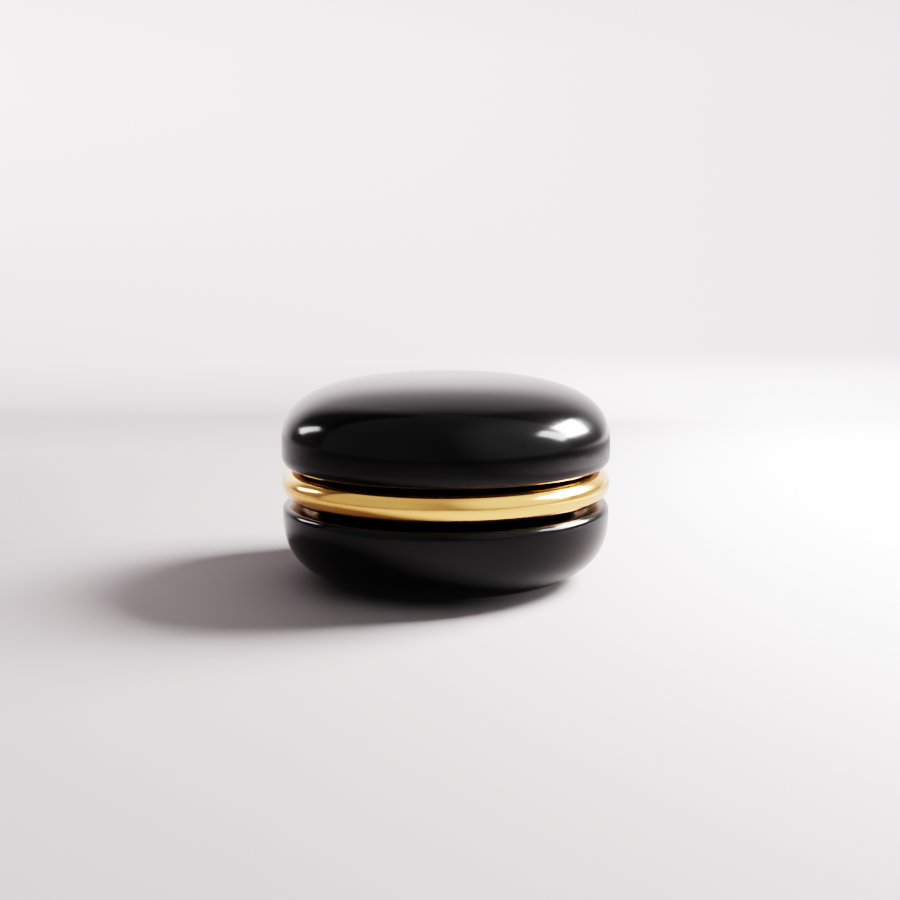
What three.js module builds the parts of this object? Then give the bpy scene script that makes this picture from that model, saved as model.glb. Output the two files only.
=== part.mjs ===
// A french macaron: two smooth, glossy black shells with a gold filling between them, whose
// rounded rim stands in the gap like a ring. The shells have no ruffled foot.
// Every piece is turned about the upright axis. Millimetres, +Z up, origin at the centre of the
// flat spot that the macaron stands on.

import * as THREE from 'three';

// Overall sizes
const WHOLE_HEIGHT = 28.0;
const UPPER_RADIUS = 22.5;
const LOWER_RADIUS = 22.44;

// Heights above the surface that it stands on
const LOWER_LIP_Z = 10.7;
const UPPER_LIP_Z = 15.9;
const FILLING_Z = 13.38;

// The rounded lip where each shell's wall turns into the gap
const LOWER_LIP = { width: 0.8, height: 1.1 };
const UPPER_LIP = { width: 1.0, height: 1.55 };

// A shell's outside is a superellipse: (r / radius) ^ across + (h / height) ^ upward = 1.
// The lower shell is squarer and flatter, so that it stands steadily on its foot.
const LOWER_DOME = { across: 5.0, upward: 2.52, footRadius: 9.0 };
const UPPER_DOME = { across: 2.81, upward: 3.12, footRadius: 0 };

// Filling: a disc that runs through the macaron, with a round rim
const RIM_OUTER_RADIUS = 22.43;
const RIM_WIRE_RADIUS = 2.1;
const WEB_THICKNESS = 3.0;

// Each shell has a low round seat inside the gap, which meets the filling's flat face
const SEAT_RADIUS = 17.5;

// Fineness of the turned surfaces
const TURN_STEPS = 80;
const DOME_STEPS = 18;
const LIP_STEPS = 5;
const RIM_STEPS = 18;

const QUARTER_TURN = Math.PI / 2;
const HALF_WEB = WEB_THICKNESS / 2;

function finish(color, roughness, metalness) {
  return new THREE.MeshStandardMaterial({ color, roughness, metalness });
}

// Revolves an outline of (radius, z) points, which starts and ends on the axis
function turned(name, outline, material) {
  const geometry = new THREE.LatheGeometry(outline, TURN_STEPS);
  geometry.rotateX(QUARTER_TURN);
  const mesh = new THREE.Mesh(geometry, material);
  mesh.name = name;
  return mesh;
}

// The lip's quarter ellipse, from its flat face out to the wall, as (radius, height over the lip)
function lipPoints(radius, lip) {
  const points = [];
  for (let step = 0; step < LIP_STEPS; step += 1) {
    const angle = QUARTER_TURN * step / LIP_STEPS;
    const inset = lip.width * (1 - Math.sin(angle));
    points.push(new THREE.Vector2(radius - inset, lip.height * (1 - Math.cos(angle))));
  }
  return points;
}

// The dome from the wall to the pole, or to the flat foot, as (radius, height over the wall)
function domePoints(radius, height, dome) {
  const footShare = 1 - (dome.footRadius / radius) ** dome.across;
  const poleHeight = height / footShare ** (1 / dome.upward);
  const lastAngle = Math.acos((dome.footRadius / radius) ** (dome.across / 2));
  const points = [];
  for (let step = 0; step < DOME_STEPS; step += 1) {
    const angle = lastAngle * step / DOME_STEPS;
    const r = radius * Math.cos(angle) ** (2 / dome.across);
    points.push(new THREE.Vector2(r, poleHeight * Math.sin(angle) ** (2 / dome.upward)));
  }
  if (dome.footRadius > 0) {
    points.push(new THREE.Vector2(dome.footRadius, height));
  }
  points.push(new THREE.Vector2(0, height));
  return points;
}

// A shell's outline from its seat in the gap, round the lip and over the dome.
// Heights are measured from the lip's plane, away from the gap.
function shellOutline(radius, lip, dome, height, seatHeight) {
  const seat = [
    new THREE.Vector2(0, -seatHeight),
    new THREE.Vector2(SEAT_RADIUS, -seatHeight),
    new THREE.Vector2(SEAT_RADIUS, 0),
  ];
  const overWall = domePoints(radius, height - lip.height, dome);
  const outside = overWall.map((point) => new THREE.Vector2(point.x, point.y + lip.height));
  return [...seat, ...lipPoints(radius, lip), ...outside];
}

function lowerShell(material) {
  const seatHeight = FILLING_Z - HALF_WEB - LOWER_LIP_Z;
  const outline = shellOutline(LOWER_RADIUS, LOWER_LIP, LOWER_DOME, LOWER_LIP_Z, seatHeight);
  const turnedOver = outline.map((point) => new THREE.Vector2(point.x, LOWER_LIP_Z - point.y));
  return turned('shell_lower', turnedOver.reverse(), material);
}

function upperShell(material) {
  const seatHeight = UPPER_LIP_Z - FILLING_Z - HALF_WEB;
  const height = WHOLE_HEIGHT - UPPER_LIP_Z;
  const outline = shellOutline(UPPER_RADIUS, UPPER_LIP, UPPER_DOME, height, seatHeight);
  const inPlace = outline.map((point) => new THREE.Vector2(point.x, UPPER_LIP_Z + point.y));
  return turned('shell_upper', inPlace, material);
}

// The flat web meets the round rim inside the gap, where it can't be seen
function filling(material) {
  const rimCentre = RIM_OUTER_RADIUS - RIM_WIRE_RADIUS;
  const innerAngle = Math.PI - Math.asin(HALF_WEB / RIM_WIRE_RADIUS);
  const outline = [new THREE.Vector2(0, FILLING_Z - HALF_WEB)];
  for (let step = 0; step <= RIM_STEPS; step += 1) {
    const angle = innerAngle * (2 * step / RIM_STEPS - 1);
    const r = rimCentre + RIM_WIRE_RADIUS * Math.cos(angle);
    outline.push(new THREE.Vector2(r, FILLING_Z + RIM_WIRE_RADIUS * Math.sin(angle)));
  }
  outline.push(new THREE.Vector2(0, FILLING_Z + HALF_WEB));
  return turned('filling_gold', outline, material);
}

const blackLacquer = finish(0x0d0d0e, 0.25, 0.0);
const polishedGold = finish(0xe8bf6a, 0.12, 1.0);

const macaron = new THREE.Group();
macaron.add(lowerShell(blackLacquer));
macaron.add(filling(polishedGold));
macaron.add(upperShell(blackLacquer));

export default macaron;
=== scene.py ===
# A french macaron: two smooth shells under a glossy black glaze, and a gold filling between them
# whose rounded rim stands in the gap like a ring. Metres, +Z up, standing on its flat foot.

import math

import bmesh
import bpy
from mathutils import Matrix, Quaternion, Vector


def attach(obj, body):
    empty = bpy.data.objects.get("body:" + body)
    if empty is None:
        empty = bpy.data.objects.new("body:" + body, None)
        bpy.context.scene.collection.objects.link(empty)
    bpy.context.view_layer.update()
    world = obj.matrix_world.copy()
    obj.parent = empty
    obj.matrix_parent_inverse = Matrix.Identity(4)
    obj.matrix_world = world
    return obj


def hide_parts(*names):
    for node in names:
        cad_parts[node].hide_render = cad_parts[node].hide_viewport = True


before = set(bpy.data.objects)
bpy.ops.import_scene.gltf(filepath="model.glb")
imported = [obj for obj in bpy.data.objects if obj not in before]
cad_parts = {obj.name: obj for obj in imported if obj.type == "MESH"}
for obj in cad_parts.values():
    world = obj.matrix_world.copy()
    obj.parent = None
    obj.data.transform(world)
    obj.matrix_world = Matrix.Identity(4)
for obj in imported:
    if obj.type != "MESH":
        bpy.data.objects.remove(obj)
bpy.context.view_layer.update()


# Lower shell.
# A round baked shell, turned over so that its dome is below and its flat spot is the foot.
# It is coated all over in black glaze, and its lip is rounded where it turns into the gap.

MM = 0.001
LOWER_RADIUS = 22.44 * MM
LOWER_LIP_Z = 10.7 * MM
LOWER_SEAT_Z = 11.88 * MM
LOWER_FOOT_RADIUS = 9.0 * MM
LOWER_LIP_WIDTH = 0.8 * MM
LOWER_LIP_HEIGHT = 1.1 * MM
LOWER_ACROSS = 5.0
LOWER_UPWARD = 2.52
SEAT_RADIUS = 17.5 * MM

TURN_STEPS = 288
LIP_STEPS = 14
DOME_STEPS = 88
QUARTER_TURN = math.pi / 2
SHARP_FROM = math.radians(50)

GLAZE_IOR = 1.30
GLAZE_DARK = (0.0013, 0.0012, 0.0012, 1)
GLAZE_LIGHT = (0.0023, 0.0021, 0.0021, 1)


def lip_outline(radius, width, height):
    """The quarter-ellipse lip, from its flat face out to the wall, as (radius, height over it)."""
    points = []
    for step in range(LIP_STEPS):
        angle = QUARTER_TURN * step / LIP_STEPS
        inset = width * (1 - math.sin(angle))
        points.append((radius - inset, height * (1 - math.cos(angle))))
    return points


def dome_outline(radius, height, across, upward, foot_radius):
    """The superellipse dome from the wall to the foot or pole, as (radius, height over the
    wall)."""
    foot_share = 1 - (foot_radius / radius) ** across
    pole_height = height / foot_share ** (1 / upward)
    last_angle = math.acos((foot_radius / radius) ** (across / 2))
    points = []
    for step in range(DOME_STEPS):
        angle = last_angle * step / DOME_STEPS
        reach = radius * math.cos(angle) ** (2 / across)
        points.append((reach, pole_height * math.sin(angle) ** (2 / upward)))
    if foot_radius > 0:
        points.append((foot_radius, height))
    points.append((0.0, height))
    return points


def turned_piece(name, outline):
    """Turns an outline of (radius, z) points about the upright axis into one closed, smooth
    mesh."""
    shape = bmesh.new()
    rings = []
    for radius, z in outline:
        if radius == 0:
            rings.append([shape.verts.new((0, 0, z))] * TURN_STEPS)
            continue
        ring = []
        for step in range(TURN_STEPS):
            angle = 2 * math.pi * step / TURN_STEPS
            ring.append(shape.verts.new((radius * math.cos(angle), radius * math.sin(angle), z)))
        rings.append(ring)
    for near, far in zip(rings, rings[1:]):
        for step in range(TURN_STEPS):
            after = (step + 1) % TURN_STEPS
            corners = [near[step], near[after], far[after], far[step]]
            shape.faces.new(list(dict.fromkeys(corners)))
    bmesh.ops.recalc_face_normals(shape, faces=shape.faces)
    mesh = bpy.data.meshes.new(name)
    shape.to_mesh(mesh)
    shape.free()
    mesh.shade_smooth()
    mesh.set_sharp_from_angle(angle=SHARP_FROM)
    piece = bpy.data.objects.new(name, mesh)
    bpy.context.scene.collection.objects.link(piece)
    return piece


seat = [
    (0.0, LOWER_SEAT_Z),
    (SEAT_RADIUS, LOWER_SEAT_Z),
    (SEAT_RADIUS, LOWER_LIP_Z),
]
wall_z = LOWER_LIP_Z - LOWER_LIP_HEIGHT
lip = lip_outline(LOWER_RADIUS, LOWER_LIP_WIDTH, LOWER_LIP_HEIGHT)
dome = dome_outline(LOWER_RADIUS, wall_z, LOWER_ACROSS, LOWER_UPWARD, LOWER_FOOT_RADIUS)
below_lip = [(radius, LOWER_LIP_Z - drop) for radius, drop in lip]
below_wall = [(radius, wall_z - drop) for radius, drop in dome]
lower_shell = turned_piece("lower_shell", seat + below_lip + below_wall)


def settled_surface_group():
    """Soft uneven patches and a fine grain, which the glaze and the gold each take at their own
    strength: it puts out a roughness and a height."""
    group = bpy.data.node_groups.new("settled surface", "ShaderNodeTree")
    sockets = group.interface
    for name in ("Roughness", "Unevenness", "Patch Size", "Grain Size", "Grain Share"):
        sockets.new_socket(name, in_out="INPUT", socket_type="NodeSocketFloat")
    sockets.new_socket("Vector", in_out="INPUT", socket_type="NodeSocketVector")
    sockets.new_socket("Roughness", in_out="OUTPUT", socket_type="NodeSocketFloat")
    sockets.new_socket("Height", in_out="OUTPUT", socket_type="NodeSocketFloat")
    nodes, links = group.nodes, group.links
    given = nodes.new("NodeGroupInput")
    out = nodes.new("NodeGroupOutput")

    def noise(size_socket, detail):
        """Noise whose features measure the given size in millimetres."""
        scale = nodes.new("ShaderNodeMath")
        scale.operation = "DIVIDE"
        scale.inputs[0].default_value = 1 / MM
        links.new(given.outputs[size_socket], scale.inputs[1])
        texture = nodes.new("ShaderNodeTexNoise")
        texture.inputs["Detail"].default_value = detail
        links.new(given.outputs["Vector"], texture.inputs["Vector"])
        links.new(scale.outputs["Value"], texture.inputs["Scale"])
        return texture.outputs["Fac"]

    patches = noise("Patch Size", detail=3)
    grain = noise("Grain Size", detail=2)
    both = nodes.new("ShaderNodeMix")
    links.new(given.outputs["Grain Share"], both.inputs["Factor"])
    links.new(patches, both.inputs["A"])
    links.new(grain, both.inputs["B"])
    noise_middle = 0.5
    centred = nodes.new("ShaderNodeMath")
    centred.operation = "SUBTRACT"
    centred.inputs[1].default_value = noise_middle
    links.new(both.outputs["Result"], centred.inputs[0])
    spread = nodes.new("ShaderNodeMath")
    spread.operation = "MULTIPLY_ADD"
    links.new(centred.outputs["Value"], spread.inputs[0])
    links.new(given.outputs["Unevenness"], spread.inputs[1])
    links.new(given.outputs["Roughness"], spread.inputs[2])
    links.new(spread.outputs["Value"], out.inputs["Roughness"])
    links.new(both.outputs["Result"], out.inputs["Height"])
    return group


def clouded_tint_group():
    """A colour that drifts between two near tints in soft clouds, for the glaze, the gold and
    the sheet under the macaron."""
    group = bpy.data.node_groups.new("clouded tint", "ShaderNodeTree")
    sockets = group.interface
    for name in ("Cloud Scale", "Cloud Detail"):
        sockets.new_socket(name, in_out="INPUT", socket_type="NodeSocketFloat")
    for name in ("First Tint", "Second Tint"):
        sockets.new_socket(name, in_out="INPUT", socket_type="NodeSocketColor")
    sockets.new_socket("Vector", in_out="INPUT", socket_type="NodeSocketVector")
    sockets.new_socket("Color", in_out="OUTPUT", socket_type="NodeSocketColor")
    nodes, links = group.nodes, group.links
    given = nodes.new("NodeGroupInput")
    out = nodes.new("NodeGroupOutput")
    clouds = nodes.new("ShaderNodeTexNoise")
    links.new(given.outputs["Vector"], clouds.inputs["Vector"])
    links.new(given.outputs["Cloud Scale"], clouds.inputs["Scale"])
    links.new(given.outputs["Cloud Detail"], clouds.inputs["Detail"])
    tint = nodes.new("ShaderNodeMix")
    tint.data_type = "RGBA"
    links.new(clouds.outputs["Fac"], tint.inputs["Factor"])
    links.new(given.outputs["First Tint"], tint.inputs["A"])
    links.new(given.outputs["Second Tint"], tint.inputs["B"])
    links.new(tint.outputs["Result"], out.inputs["Color"])
    return group


settled_surface = settled_surface_group()
clouded_tint = clouded_tint_group()


def place_group(material, group, vector, values):
    """Places a shared node group in a material, with that material's own values."""
    placed = material.node_tree.nodes.new("ShaderNodeGroup")
    placed.node_tree = group
    for name, value in values.items():
        placed.inputs[name].default_value = value
    material.node_tree.links.new(vector, placed.inputs["Vector"])
    return placed


def black_glaze_material():
    """Black sugar glaze: satin-smooth, a little uneven where it ran and set."""
    material = bpy.data.materials.new("black glaze")
    material.use_nodes = True
    nodes, links = material.node_tree.nodes, material.node_tree.links
    surface = nodes["Principled BSDF"]
    surface.inputs["IOR"].default_value = GLAZE_IOR
    place = nodes.new("ShaderNodeTexCoord")

    settled = place_group(material, settled_surface, place.outputs["Object"], {
        "Roughness": 0.14,
        "Unevenness": 0.04,
        "Patch Size": 6.0,
        "Grain Size": 0.3,
        "Grain Share": 0.2,
    })
    links.new(settled.outputs["Roughness"], surface.inputs["Roughness"])

    tint = place_group(material, clouded_tint, place.outputs["Object"], {
        "Cloud Scale": 140.0,
        "Cloud Detail": 4.0,
        "First Tint": GLAZE_DARK,
        "Second Tint": GLAZE_LIGHT,
    })
    links.new(tint.outputs["Color"], surface.inputs["Base Color"])

    ripple = nodes.new("ShaderNodeBump")
    ripple.inputs["Strength"].default_value = 0.03
    ripple.inputs["Distance"].default_value = 0.05 * MM
    links.new(settled.outputs["Height"], ripple.inputs["Height"])
    links.new(ripple.outputs["Normal"], surface.inputs["Normal"])
    return material


black_glaze = black_glaze_material()
lower_shell.data.materials.append(black_glaze)
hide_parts("shell_lower")
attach(lower_shell, "root")


# Gold filling.
# A disc of filling that runs through the macaron under a polished gold finish. Its rim is
# rounded like a ring and stands clear of both lips, and its flat middle carries the upper shell.

RIM_OUTER_RADIUS = 22.43 * MM
RIM_WIRE_RADIUS = 2.1 * MM
FILLING_Z = 13.38 * MM
WEB_HALF = 1.5 * MM
RIM_STEPS = 84

GOLD_DEEP = (1.0, 0.505, 0.150, 1)
GOLD_PALE = (1.0, 0.530, 0.172, 1)

rim_centre = RIM_OUTER_RADIUS - RIM_WIRE_RADIUS
inner_angle = math.pi - math.asin(WEB_HALF / RIM_WIRE_RADIUS)
rim = [(0.0, FILLING_Z - WEB_HALF)]
for step in range(RIM_STEPS + 1):
    angle = inner_angle * (2 * step / RIM_STEPS - 1)
    reach = rim_centre + RIM_WIRE_RADIUS * math.cos(angle)
    rim.append((reach, FILLING_Z + RIM_WIRE_RADIUS * math.sin(angle)))
rim.append((0.0, FILLING_Z + WEB_HALF))
gold_filling = turned_piece("gold_filling", rim)


def polished_gold_material():
    """Polished gold, with the faint hoops that turning leaves round the rim."""
    material = bpy.data.materials.new("polished gold")
    material.use_nodes = True
    nodes, links = material.node_tree.nodes, material.node_tree.links
    surface = nodes["Principled BSDF"]
    surface.inputs["Metallic"].default_value = 1.0
    place = nodes.new("ShaderNodeTexCoord")

    settled = place_group(material, settled_surface, place.outputs["Object"], {
        "Roughness": 0.13,
        "Unevenness": 0.03,
        "Patch Size": 3.0,
        "Grain Size": 0.2,
        "Grain Share": 0.25,
    })
    links.new(settled.outputs["Roughness"], surface.inputs["Roughness"])

    tint = place_group(material, clouded_tint, place.outputs["Object"], {
        "Cloud Scale": 220.0,
        "Cloud Detail": 3.0,
        "First Tint": GOLD_DEEP,
        "Second Tint": GOLD_PALE,
    })
    links.new(tint.outputs["Color"], surface.inputs["Base Color"])

    hoops = nodes.new("ShaderNodeTexWave")
    hoops.bands_direction = "Z"
    hoops.inputs["Scale"].default_value = 900.0
    hoops.inputs["Distortion"].default_value = 1.5
    hoops.inputs["Detail"].default_value = 2.0
    links.new(place.outputs["Object"], hoops.inputs["Vector"])
    marks = nodes.new("ShaderNodeBump")
    marks.inputs["Strength"].default_value = 0.02
    marks.inputs["Distance"].default_value = 0.02 * MM
    links.new(hoops.outputs["Fac"], marks.inputs["Height"])
    links.new(marks.outputs["Normal"], surface.inputs["Normal"])
    return material


gold_filling.data.materials.append(polished_gold_material())
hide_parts("filling_gold")
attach(gold_filling, "root")


# Upper shell.
# The other shell, dome up. It is wider and rounder than the lower one, under the same glaze,
# and its lip hangs over the gold rim. It sits on the filling's flat middle.

UPPER_RADIUS = 22.5 * MM
UPPER_LIP_Z = 15.9 * MM
UPPER_SEAT_Z = 14.88 * MM
WHOLE_HEIGHT = 28.0 * MM
UPPER_LIP_WIDTH = 1.0 * MM
UPPER_LIP_HEIGHT = 1.55 * MM
UPPER_ACROSS = 2.81
UPPER_UPWARD = 3.12
NO_FOOT = 0.0

seat = [
    (0.0, UPPER_SEAT_Z),
    (SEAT_RADIUS, UPPER_SEAT_Z),
    (SEAT_RADIUS, UPPER_LIP_Z),
]
wall_z = UPPER_LIP_Z + UPPER_LIP_HEIGHT
lip = lip_outline(UPPER_RADIUS, UPPER_LIP_WIDTH, UPPER_LIP_HEIGHT)
dome = dome_outline(UPPER_RADIUS, WHOLE_HEIGHT - wall_z, UPPER_ACROSS, UPPER_UPWARD, NO_FOOT)
over_lip = [(radius, UPPER_LIP_Z + rise) for radius, rise in lip]
over_wall = [(radius, wall_z + rise) for radius, rise in dome]
upper_shell = turned_piece("upper_shell", seat + over_lip + over_wall)
upper_shell.data.materials.append(black_glaze)
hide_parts("shell_upper")
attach(upper_shell, "root")


# Floor and backdrop.
# A pale sheet that lies flat under the macaron, turns up in a tight cove close behind it and goes
# on as a wall with a soft painted glow, brightest at the left. It isn't part of the food.

SHEET_HALF_WIDTH = 3.0
SHEET_FRONT_Y = -1.5
COVE_START_Y = 0.173
COVE_RADIUS = 0.016
WALL_TOP_Z = 1.5
COVE_STEPS = 24

SHEET_ROUGHNESS = 0.9
SHEET_FIRST_TINT = (0.219, 0.198, 0.203, 1)
SHEET_SECOND_TINT = (0.227, 0.205, 0.210, 1)
SHEET_DARK = (0.01, 0.01, 0.01, 1)
GLOW_COLOR = (1.0, 0.90, 0.93, 1)

# Each ramp goes along one axis: (axis, from, to, value up to there, value beyond)
# Painted glow of the wall: its strength from left to right, less of it low down at the left, and
# where it fades out
WALL_GLOW = ("X", -0.125, 0.125, 2.50, 1.75)
LOW_LEFT_GLOW_DIP = (("X", -0.125, 0.04, 1.0, 0.0), ("Z", 0.012, 0.085, -0.95, 0.0))
WALL_GLOW_ENDS = (
    ("X", -0.26, -0.13, 0.12, 1.0),
    ("X", 0.13, 0.24, 1.0, 0.15),
    ("Z", 0.1, 0.17, 1.0, 0.62),
    ("Z", 0.4, 0.8, 1.0, 0.3),
    ("Z", 0.0, 0.014, 0.0, 1.0),
)
# Painted pool of light: its strength, off near the macaron, and its end on the cove
POOL_GLOW = ("X", 0.0, 0.045, 0.0, 21.1)
POOL_TOP = ("Z", 0.0, 0.0145, 1.0, 0.0)
# Painted light on the floor: a glow that brightens it towards the back and at the left, and stops
# at the cove
BACK_FLOOR_GLOW = ("Y", 0.02, 0.11, 0.0, 0.48)
LEFT_FLOOR_GLOW = ("X", -0.045, -0.015, 0.07, 0.0)
FLOOR_GLOW_TOP = ("Z", 0.0, 0.014, 1.0, 0.0)
# A painted glow on the lower cove, right of the macaron
COVE_GLOW = ("X", 0.0, 0.045, 0.0, 1.4)
COVE_GLOW_ENDS = (("Y", 0.16, 0.182, 0.0, 1.0), ("Z", 0.007, 0.0165, 1.0, 0.0))
# From the cove up the sheet's own colour is near black, so the wall's brightness is only the
# painted glow
DARK_WALL = ("Z", 0.004, 0.016, 0.0, 1.0)
# Painted shade: the floor right of the macaron is darker in every ray but the camera's, so it
# shows darker in reflections and bounced light
RIGHT_FLOOR_REFLECTED_SHADE = (("X", 0.005, 0.05, 0.0, 0.4), ("X", 0.06, 0.11, 1.0, 0.0))

# The painted pool of light on the floor to the right of the macaron, a glow that only the camera
# sees
POOL_CENTRE = (0.1055, 0.0633, 0.0)
POOL_REACH = (0.070, 0.148, 1.0)
POOL_FALL = -4.0

sheet_side = [(SHEET_FRONT_Y, 0.0)]
for step in range(COVE_STEPS + 1):
    angle = QUARTER_TURN * step / COVE_STEPS
    sheet_side.append((COVE_START_Y + COVE_RADIUS * math.sin(angle),
                       COVE_RADIUS * (1 - math.cos(angle))))
sheet_side.append((COVE_START_Y + COVE_RADIUS, WALL_TOP_Z))
corners = []
for y, z in sheet_side:
    corners.append((-SHEET_HALF_WIDTH, y, z))
    corners.append((SHEET_HALF_WIDTH, y, z))
strips = [(2 * k, 2 * k + 1, 2 * k + 3, 2 * k + 2) for k in range(len(sheet_side) - 1)]
sheet_mesh = bpy.data.meshes.new("backdrop")
sheet_mesh.from_pydata(corners, [], strips)
sheet_mesh.shade_smooth()
backdrop = bpy.data.objects.new("backdrop", sheet_mesh)
bpy.context.scene.collection.objects.link(backdrop)


def pale_sheet_material():
    """Matt sheet with a faint cloudiness. The wall's light is a painted glow: it fades in over the
    cove, and falls off to the right, low down at the left, and far from the macaron. On the floor
    a painted pool of light lies at the right, seen only by the camera and not in reflections, and
    painted glows brighten the floor towards the back and at the left, and the low cove at the
    right.
    In reflections and bounced light the floor right of the macaron takes painted shade."""
    material = bpy.data.materials.new("pale sheet")
    material.use_nodes = True
    nodes, links = material.node_tree.nodes, material.node_tree.links
    surface = nodes["Principled BSDF"]
    surface.inputs["Roughness"].default_value = SHEET_ROUGHNESS
    surface.inputs["Specular IOR Level"].default_value = 0.0
    place = nodes.new("ShaderNodeTexCoord")
    split = nodes.new("ShaderNodeSeparateXYZ")
    links.new(place.outputs["Object"], split.inputs["Vector"])

    def fade(axis, start, stop, at_start, at_stop):
        """A value that goes from at_start to at_stop between two places along one axis."""
        span = nodes.new("ShaderNodeMapRange")
        links.new(split.outputs[axis], span.inputs["Value"])
        span.inputs["From Min"].default_value = start
        span.inputs["From Max"].default_value = stop
        span.inputs["To Min"].default_value = at_start
        span.inputs["To Max"].default_value = at_stop
        return span.outputs["Result"]

    def combine(operation, *values):
        """The values joined one after another by a sum, a product or the like."""
        total = values[0]
        for value in values[1:]:
            both = nodes.new("ShaderNodeMath")
            both.operation = operation
            links.new(total, both.inputs[0])
            links.new(value, both.inputs[1])
            total = both.outputs["Value"]
        return total

    def painted_pool_shape():
        """1 at the painted pool's centre, falling off smoothly all round it."""
        offset = nodes.new("ShaderNodeVectorMath")
        offset.operation = "SUBTRACT"
        links.new(place.outputs["Object"], offset.inputs[0])
        offset.inputs[1].default_value = POOL_CENTRE
        reach = nodes.new("ShaderNodeVectorMath")
        reach.operation = "DIVIDE"
        links.new(offset.outputs["Vector"], reach.inputs[0])
        reach.inputs[1].default_value = POOL_REACH
        square = nodes.new("ShaderNodeVectorMath")
        square.operation = "DOT_PRODUCT"
        links.new(reach.outputs["Vector"], square.inputs[0])
        links.new(reach.outputs["Vector"], square.inputs[1])
        spread = nodes.new("ShaderNodeMath")
        spread.inputs[1].default_value = 1.0
        links.new(square.outputs["Value"], spread.inputs[0])
        fall = nodes.new("ShaderNodeMath")
        fall.operation = "POWER"
        links.new(spread.outputs["Value"], fall.inputs[0])
        fall.inputs[1].default_value = POOL_FALL
        return fall.outputs["Value"]

    path = nodes.new("ShaderNodeLightPath")
    seen = path.outputs["Is Camera Ray"]
    reflected = nodes.new("ShaderNodeMath")
    reflected.operation = "SUBTRACT"
    reflected.inputs[0].default_value = 1.0
    links.new(seen, reflected.inputs[1])

    dip = combine("MULTIPLY", *(fade(*ramp) for ramp in LOW_LEFT_GLOW_DIP))
    wall = combine("MULTIPLY", combine("ADD", fade(*WALL_GLOW), dip),
                   *(fade(*ramp) for ramp in WALL_GLOW_ENDS))
    # The painted pool of light, which only camera rays see
    pool = combine("MULTIPLY", painted_pool_shape(), fade(*POOL_GLOW), seen, fade(*POOL_TOP))
    # Painted glow on the floor towards the back and at the left
    painted_floor_glow = combine("MULTIPLY", combine("ADD", fade(*BACK_FLOOR_GLOW), fade(*LEFT_FLOOR_GLOW)),
                   fade(*FLOOR_GLOW_TOP))
    cove = combine("MULTIPLY", fade(*COVE_GLOW), *(fade(*ramp) for ramp in COVE_GLOW_ENDS))
    links.new(combine("ADD", wall, pool, painted_floor_glow, cove), surface.inputs["Emission Strength"])
    surface.inputs["Emission Color"].default_value = GLOW_COLOR

    tint = place_group(material, clouded_tint, place.outputs["Object"], {
        "Cloud Scale": 18.0,
        "Cloud Detail": 3.0,
        "First Tint": SHEET_FIRST_TINT,
        "Second Tint": SHEET_SECOND_TINT,
    })
    # Painted shade on the floor at the right, for reflections and bounced light only
    painted_reflection_shade = combine("MULTIPLY", *(fade(*ramp) for ramp in RIGHT_FLOOR_REFLECTED_SHADE),
                     reflected.outputs["Value"])
    # The sheet goes towards near black on the wall, under its painted glow, and in the painted
    # shade on the floor at the right
    darken = nodes.new("ShaderNodeMix")
    darken.data_type = "RGBA"
    links.new(combine("MAXIMUM", fade(*DARK_WALL), painted_reflection_shade), darken.inputs["Factor"])
    links.new(tint.outputs["Color"], darken.inputs["A"])
    darken.inputs["B"].default_value = SHEET_DARK
    links.new(darken.outputs["Result"], surface.inputs["Base Color"])
    return material


backdrop.data.materials.append(pale_sheet_material())


# Light.
# Soft lamps close to the macaron: the key at its right, a little behind it, and a small one behind
# it at the left. Dim room light comes from all round. The lamps don't show in any view.

RIGHT_AIM = (0.0205, -0.008, 0.0134)

ROOM_LEVEL = 0.2
# Each lobe of room light: (direction, cosine where it starts, cosine where it is full, level)
ROOM_LOBES = (
    ((0.785, -0.453, 0.423), 0.55, 0.97, 1.0),
    ((0.0, 0.0, 1.0), 0.5, 1.0, 0.3),
    ((0.0, -0.94, 0.34), 0.6, 1.0, 0.15),
    ((-0.95, -0.3, 0.1), 0.2, 1.0, 0.35),
)


def soft_box(name, aim, bearing, elevation, distance, size, brightness, roll=0.0):
    """A flat lamp of a given (width, height) that faces the point aim and turns about its own
    axis by roll. Bearing 0 is behind the macaron and 90 is to its right."""
    bearing, elevation = math.radians(bearing), math.radians(elevation)
    out = Vector((math.sin(bearing) * math.cos(elevation),
                  math.cos(bearing) * math.cos(elevation), math.sin(elevation)))
    lamp = bpy.data.lights.new(name, "AREA")
    lamp.shape = "RECTANGLE"
    lamp.size, lamp.size_y = size
    lamp.energy = math.pi * size[0] * size[1] * brightness
    holder = bpy.data.objects.new(name, lamp)
    bpy.context.scene.collection.objects.link(holder)
    holder.location = Vector(aim) + out * distance
    facing = out.to_track_quat("Z", "Y") @ Quaternion((0, 0, 1), math.radians(roll))
    holder.rotation_euler = facing.to_euler()
    holder.visible_camera = False
    return holder


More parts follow.
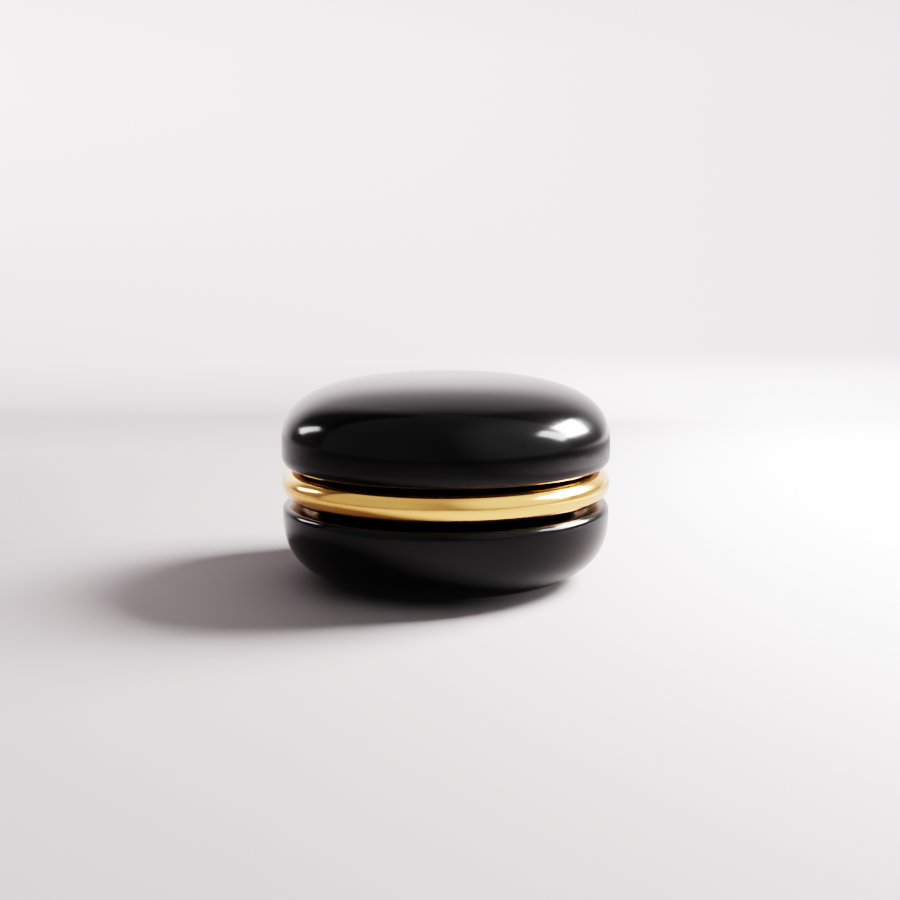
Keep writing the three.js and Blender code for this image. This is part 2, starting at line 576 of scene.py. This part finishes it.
# The key is in parts: a near lamp lights the floor and casts the shadow, and a farther one and
# a strip beside it show only as highlights
floor_key = soft_box("floor key", aim=(0.0367, -0.0387, 0.0593), bearing=48.2, elevation=26.7,
                     distance=0.12, size=(0.078, 0.078), brightness=178.0)
floor_key.visible_glossy = False
right_key = soft_box("right key", aim=RIGHT_AIM, bearing=74, elevation=27.5,
                     distance=0.24, size=(0.090, 0.090), brightness=330.0, roll=-8)
right_key.visible_diffuse = False
right_strip = soft_box("right strip", aim=RIGHT_AIM, bearing=97, elevation=27,
                       distance=0.24, size=(0.100, 0.042), brightness=52.0, roll=-53)
right_strip.visible_diffuse = False
left_lamp = soft_box("left lamp", aim=(-0.0165, -0.012, 0.020), bearing=-65, elevation=17.5,
                     distance=0.3, size=(0.110, 0.032), brightness=19.0, roll=46)
left_lamp.visible_diffuse = False


def room_light():
    """Dim light from all round, brighter high up and brightest from the front right."""
    room = bpy.data.worlds.new("room")
    room.use_nodes = True
    nodes, links = room.node_tree.nodes, room.node_tree.links
    sky = nodes["Background"]
    sky.inputs["Color"].default_value = (1, 1, 1, 1)
    place = nodes.new("ShaderNodeTexCoord")
    total = None
    for toward, near, far, level in ROOM_LOBES:
        along = nodes.new("ShaderNodeVectorMath")
        along.operation = "DOT_PRODUCT"
        links.new(place.outputs["Generated"], along.inputs[0])
        along.inputs[1].default_value = toward
        lobe = nodes.new("ShaderNodeMapRange")
        lobe.interpolation_type = "SMOOTHSTEP"
        links.new(along.outputs["Value"], lobe.inputs["Value"])
        lobe.inputs["From Min"].default_value = near
        lobe.inputs["From Max"].default_value = far
        lobe.inputs["To Max"].default_value = level
        both = nodes.new("ShaderNodeMath")
        links.new(lobe.outputs["Result"], both.inputs[0])
        if total is None:
            both.inputs[1].default_value = ROOM_LEVEL
        else:
            links.new(total, both.inputs[1])
        total = both.outputs["Value"]
    links.new(total, sky.inputs["Strength"])
    return room


bpy.context.scene.world = room_light()


# Camera.
# A little above the macaron and close to it, looking slightly down.

CAMERA_DISTANCE = 0.17036
CAMERA_Z = 0.04358
LOOK_DOWN = 0.152
LOOK_RIGHT = 0.0034
LENS_LENGTH = 50
NEAR_LIMIT = 0.01

lens = bpy.data.cameras.new("camera")
lens.lens = LENS_LENGTH
lens.clip_start = NEAR_LIMIT
camera = bpy.data.objects.new("camera", lens)
bpy.context.scene.collection.objects.link(camera)
camera.location = (0, -CAMERA_DISTANCE, CAMERA_Z)
camera.rotation_euler = (QUARTER_TURN - LOOK_DOWN, 0, -LOOK_RIGHT)
bpy.context.scene.camera = camera
bpy.context.scene.view_settings.view_transform = "Filmic"
bpy.context.scene.view_settings.look = "High Contrast"
